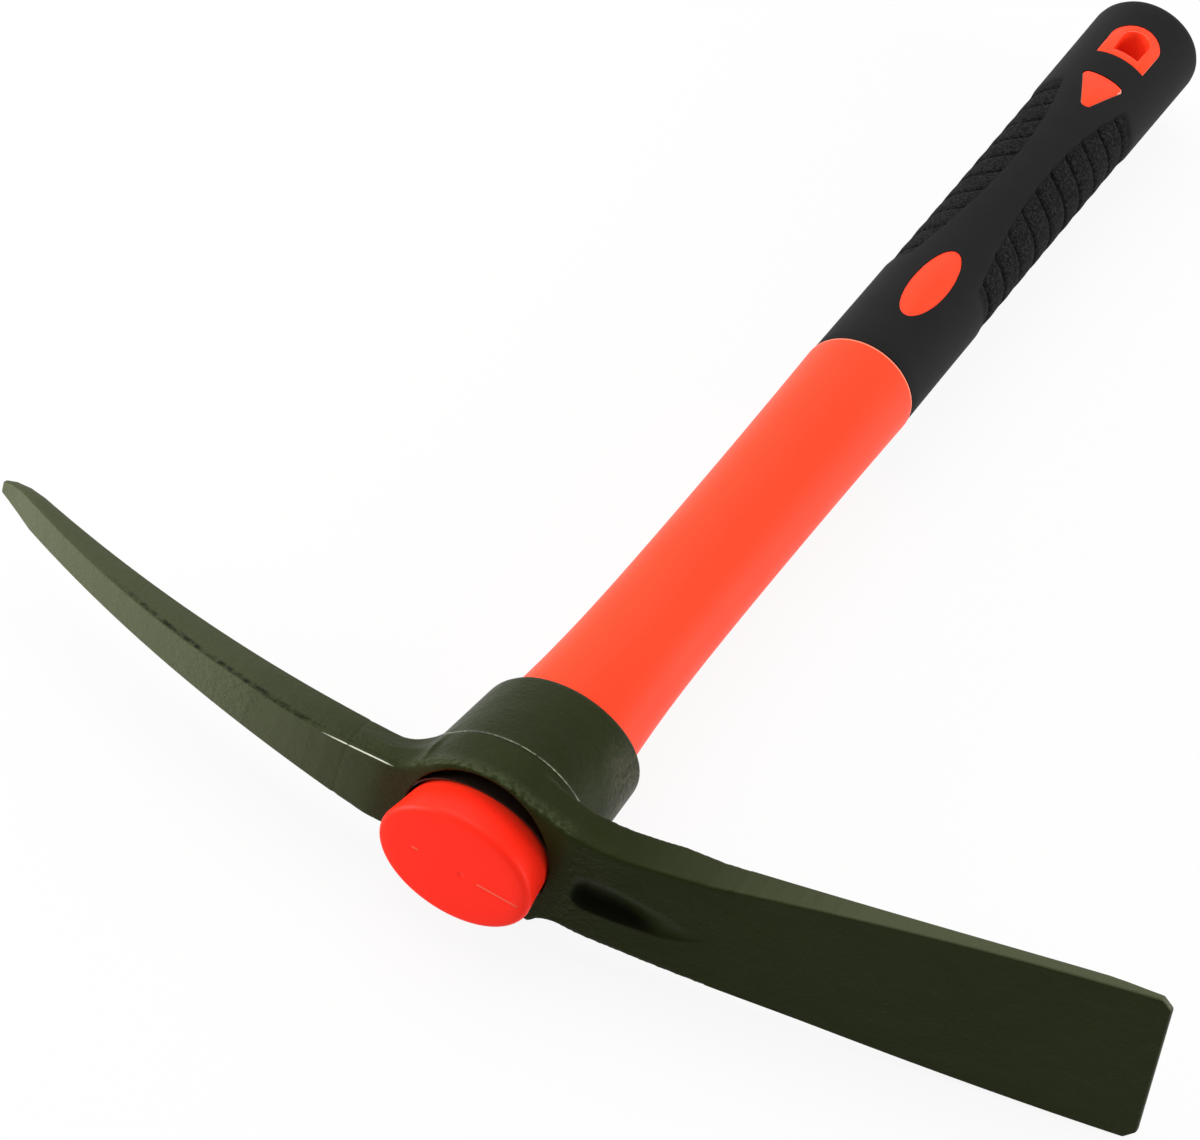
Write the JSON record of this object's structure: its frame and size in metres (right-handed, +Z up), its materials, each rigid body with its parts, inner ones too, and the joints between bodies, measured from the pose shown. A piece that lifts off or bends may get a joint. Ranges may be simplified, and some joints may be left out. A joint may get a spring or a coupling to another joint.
{
  "type": "hand pick mattock",
  "caption": "Short-handled pick mattock: forged head with a curved pick and a broad hoe blade on a tapered oval handle with a ribbed rubber grip and a hanging hole.",
  "frame": {"origin": "middle of the part's box, on the surface that the tool lies on", "axes": "+Y along the handle from the knob to the butt, +X toward the blade's cutting edge, -X toward the pick's tip, +Z up out of the grip's islands"},
  "size_m": [0.27, 0.4, 0.0398],
  "materials": {
    "glass_fibre": "pultruded rod, satin",
    "orange_plastic": "moulded, satin",
    "black_rubber": "moulded, fine matte grain",
    "epoxy": "cured resin",
    "olive_paint": "dark olive paint over a forged surface, satin"
  },
  "bodies": {
    "root": {"core_rod": "glass_fibre", "handle_jacket": "orange_plastic", "grip_sleeve": "black_rubber", "eye_bond": "epoxy", "head": "olive_paint"}
  },
  "joints": []
}
